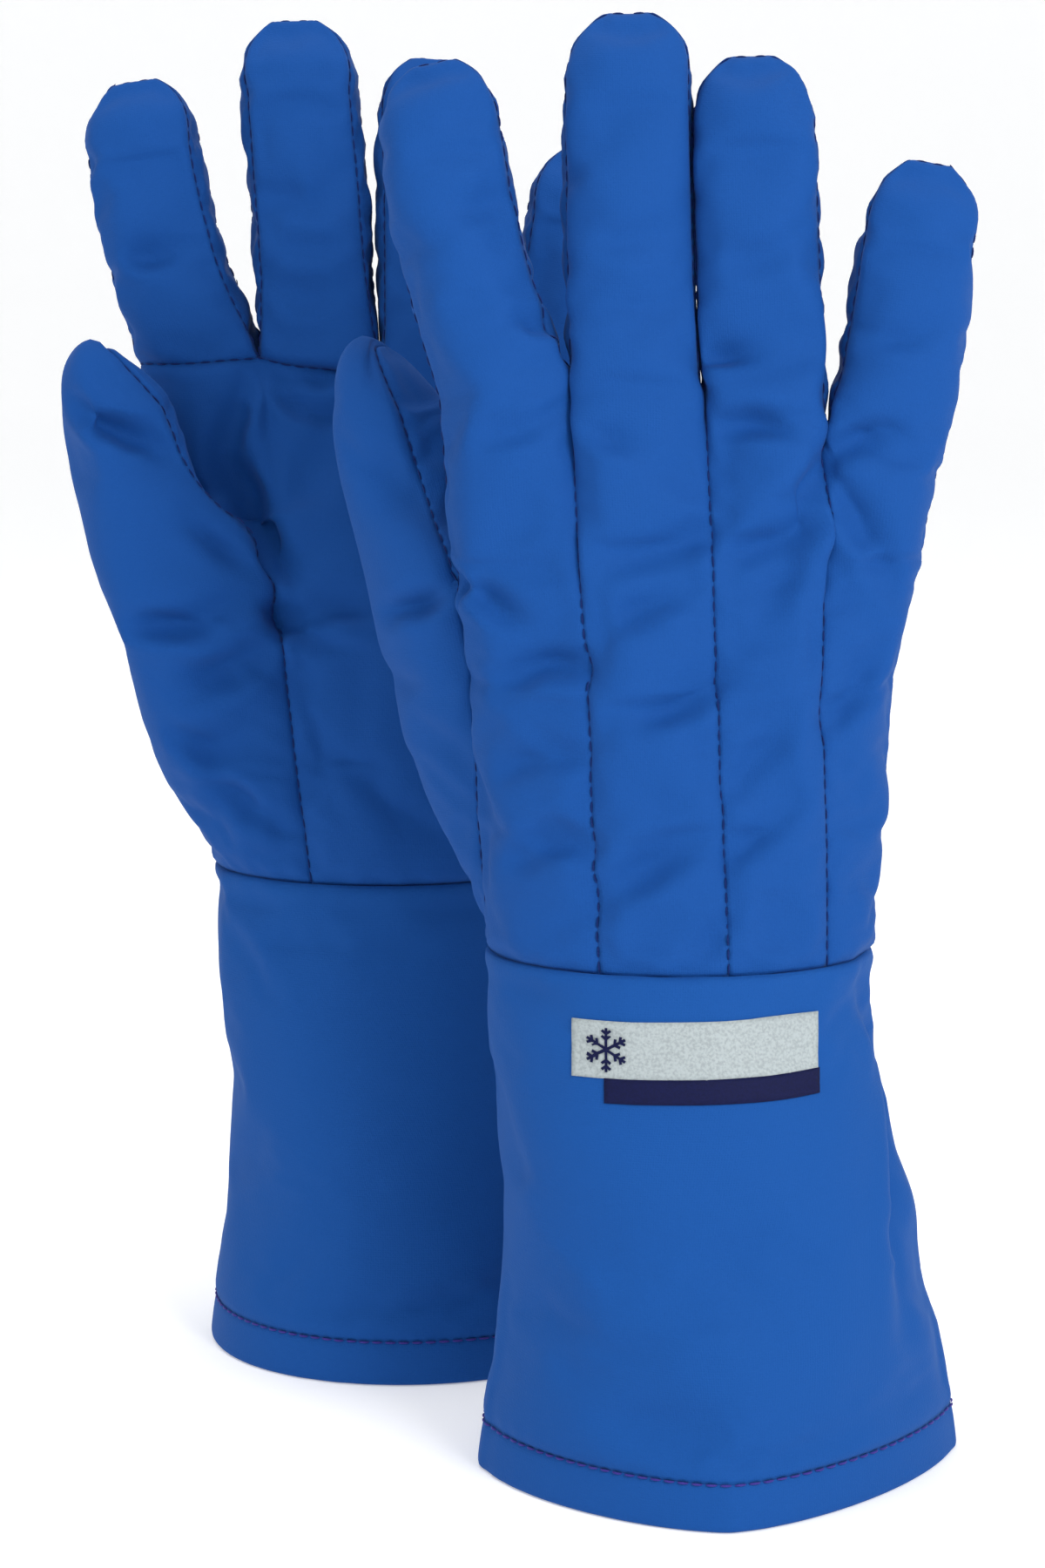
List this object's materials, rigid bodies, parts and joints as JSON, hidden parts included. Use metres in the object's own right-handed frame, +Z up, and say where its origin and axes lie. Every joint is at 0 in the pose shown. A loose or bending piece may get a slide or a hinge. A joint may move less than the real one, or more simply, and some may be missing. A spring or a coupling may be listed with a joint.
{
  "type": "cryogenic gloves",
  "caption": "Insulated mid-arm gloves in blue woven nylon, standing on flared gauntlet cuffs, with stitched panels and digits that bend at the roots.",
  "frame": {"origin": "on the floor that the hems stand on, under the middle of the pair's box", "axes": "+Z up along the gloves to the fingertips; +X to the little fingers; +Y from the right glove, which shows its back, to the left glove behind it"},
  "size_m": [0.2512, 0.231, 0.37],
  "materials": {
    "shell_fabric": "matte woven nylon, bright blue",
    "side_fabric": "matte woven nylon, bright blue",
    "cuff_fabric": "matte woven nylon, bright blue",
    "lining": "brushed knit over batting, pale blue-grey",
    "label_film": "satin silver-grey transfer film"
  },
  "bodies": {
    "left_cuff": {"left_gauntlet_shell": "cuff_fabric", "left_gauntlet_liner": "lining", "left_hem_fold": "cuff_fabric", "left_label": "label_film"},
    "left_hand": {"left_hand_back": "shell_fabric", "left_hand_palm": "shell_fabric", "left_thumb_gusset": "shell_fabric", "left_hand_liner": "lining"},
    "left_thumb": {"left_thumb_inner": "side_fabric", "left_thumb_outer": "shell_fabric", "left_thumb_liner": "lining"},
    "left_index": {"left_index_front": "shell_fabric", "left_index_back": "shell_fabric", "left_index_outer_side": "side_fabric", "left_index_liner": "lining"},
    "left_middle": {"left_middle_front": "shell_fabric", "left_middle_back": "shell_fabric", "left_middle_thumb_side": "side_fabric", "left_middle_outer_side": "side_fabric", "left_middle_liner": "lining"},
    "left_ring": {"left_ring_front": "shell_fabric", "left_ring_back": "shell_fabric", "left_ring_thumb_side": "side_fabric", "left_ring_outer_side": "side_fabric", "left_ring_liner": "lining"},
    "left_little": {"left_little_front": "shell_fabric", "left_little_back": "shell_fabric", "left_little_thumb_side": "side_fabric", "left_little_liner": "lining"},
    "right_cuff": {"right_gauntlet_shell": "cuff_fabric", "right_gauntlet_liner": "lining", "right_hem_fold": "cuff_fabric", "right_label": "label_film"},
    "right_hand": {"right_hand_back": "shell_fabric", "right_hand_palm": "shell_fabric", "right_thumb_gusset": "shell_fabric", "right_hand_liner": "lining"},
    "right_thumb": {"right_thumb_inner": "side_fabric", "right_thumb_outer": "shell_fabric", "right_thumb_liner": "lining"},
    "right_index": {"right_index_front": "shell_fabric", "right_index_back": "shell_fabric", "right_index_outer_side": "side_fabric", "right_index_liner": "lining"},
    "right_middle": {"right_middle_front": "shell_fabric", "right_middle_back": "shell_fabric", "right_middle_thumb_side": "side_fabric", "right_middle_outer_side": "side_fabric", "right_middle_liner": "lining"},
    "right_ring": {"right_ring_front": "shell_fabric", "right_ring_back": "shell_fabric", "right_ring_thumb_side": "side_fabric", "right_ring_outer_side": "side_fabric", "right_ring_liner": "lining"},
    "right_little": {"right_little_front": "shell_fabric", "right_little_back": "shell_fabric", "right_little_thumb_side": "side_fabric", "right_little_liner": "lining"}
  },
  "joints": [
    {"name": "left_wrist", "type": "hinge", "parent": "left_cuff", "child": "left_hand", "pos_m": [-0.02424, 0.09, 0.135], "axis": [-1, 0, 0], "range_deg": [0, 35]},
    {"name": "left_thumb_curl", "type": "hinge", "parent": "left_hand", "child": "left_thumb", "pos_m": [-0.08688, 0.01739, 0.22862], "axis": [0.8662, 0.326, 0.3788], "range_deg": [0, 40]},
    {"name": "left_index_curl", "type": "hinge", "parent": "left_hand", "child": "left_index", "pos_m": [-0.07776, 0.046, 0.28], "axis": [0.9684, 0, 0.2494], "range_deg": [0, 60]},
    {"name": "left_middle_curl", "type": "hinge", "parent": "left_hand", "child": "left_middle", "pos_m": [-0.04394, 0.046, 0.284], "axis": [0.9981, 0, 0.0623], "range_deg": [0, 60]},
    {"name": "left_ring_curl", "type": "hinge", "parent": "left_hand", "child": "left_ring", "pos_m": [-0.01136, 0.046, 0.28], "axis": [0.9981, 0, 0.0623], "range_deg": [0, 60]},
    {"name": "left_little_curl", "type": "hinge", "parent": "left_hand", "child": "left_little", "pos_m": [0.02007, 0.046, 0.266], "axis": [0.9926, 0, -0.1214], "range_deg": [0, 60]},
    {"name": "right_lift", "type": "slide", "parent": "left_cuff", "child": "right_cuff", "axis": [0, 0, 1], "range_m": [0, 0.45]},
    {"name": "right_wrist", "type": "hinge", "parent": "right_cuff", "child": "right_hand", "pos_m": [0.05356, -0.09, 0.135], "axis": [1, 0, 0], "range_deg": [0, 35]},
    {"name": "right_thumb_curl", "type": "hinge", "parent": "right_hand", "child": "right_thumb", "pos_m": [-0.0048, -0.01741, 0.22843], "axis": [-0.8786, 0.3306, -0.3447], "range_deg": [0, 40]},
    {"name": "right_index_curl", "type": "hinge", "parent": "right_hand", "child": "right_index", "pos_m": [0.00656, -0.046, 0.28], "axis": [-0.9781, 0, -0.2079], "range_deg": [0, 60]},
    {"name": "right_middle_curl", "type": "hinge", "parent": "right_hand", "child": "right_middle", "pos_m": [0.04056, -0.046, 0.284], "axis": [-0.9998, 0, -0.0174], "range_deg": [0, 60]},
    {"name": "right_ring_curl", "type": "hinge", "parent": "right_hand", "child": "right_ring", "pos_m": [0.07296, -0.046, 0.28], "axis": [-0.9998, 0, -0.0174], "range_deg": [0, 60]},
    {"name": "right_little_curl", "type": "hinge", "parent": "right_hand", "child": "right_little", "pos_m": [0.10376, -0.046, 0.266], "axis": [-0.9863, 0, 0.165], "range_deg": [0, 60]}
  ]
}
